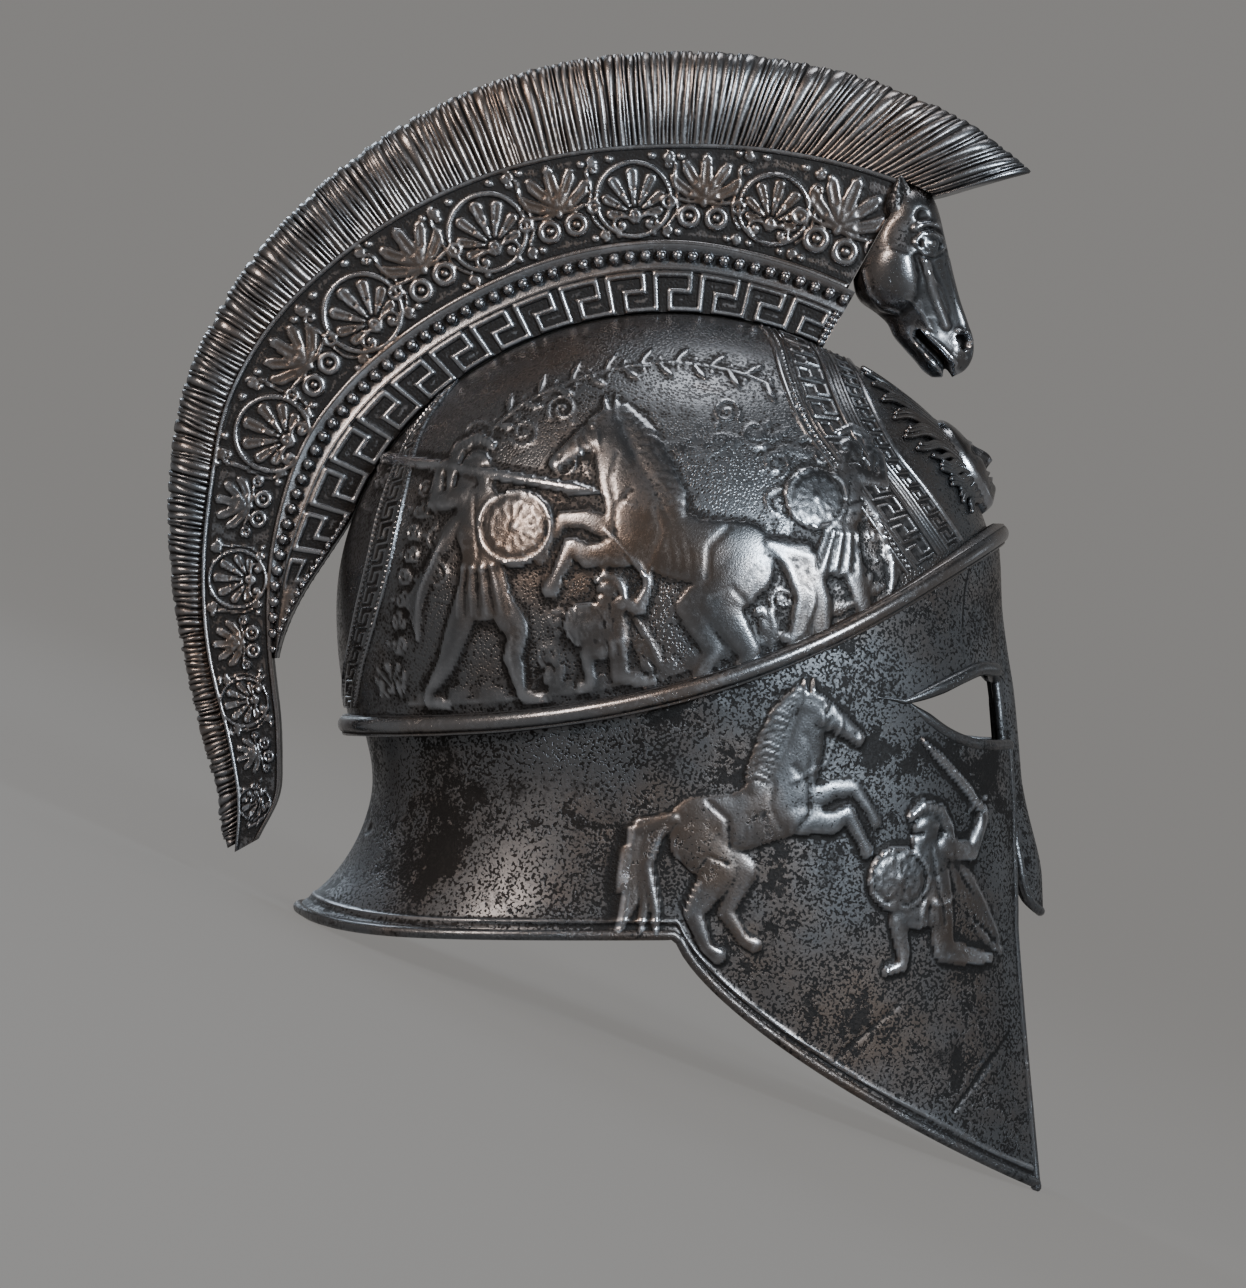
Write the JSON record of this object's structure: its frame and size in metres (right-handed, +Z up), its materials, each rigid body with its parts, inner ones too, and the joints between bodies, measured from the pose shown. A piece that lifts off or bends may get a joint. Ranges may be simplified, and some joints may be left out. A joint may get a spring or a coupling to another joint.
{
  "type": "crested helmet",
  "caption": "Closed bronze-age style steel helmet with eye openings, nose guard, cheek plates, flared neck and a tall cast crest ending in a horse head.",
  "frame": {"origin": "bottom centre of the bounding box, on the floor that the helmet rests on", "axes": "+Z up, +X to the front of the helmet, +Y to its left; the helmet leans back on its neck rim and both cheek points"},
  "size_m": [0.3774, 0.184, 0.3425],
  "materials": {
    "embossed_steel": "dark cast steel with raised, worn ornament",
    "worn_steel": "dark steel, rubbed bright on its raised parts",
    "pitted_steel": "dark steel with fine pitting and black patches",
    "ribbed_steel": "dark steel in narrow ribs, bright along the top"
  },
  "bodies": {
    "root": {"skull_bowl": "embossed_steel", "seam_moulding": "worn_steel", "face_guard": "pitted_steel", "crest_base": "embossed_steel", "crest_frieze": "embossed_steel", "crest_mane": "ribbed_steel", "horse_head": "worn_steel", "brow_mask": "worn_steel"}
  },
  "joints": []
}
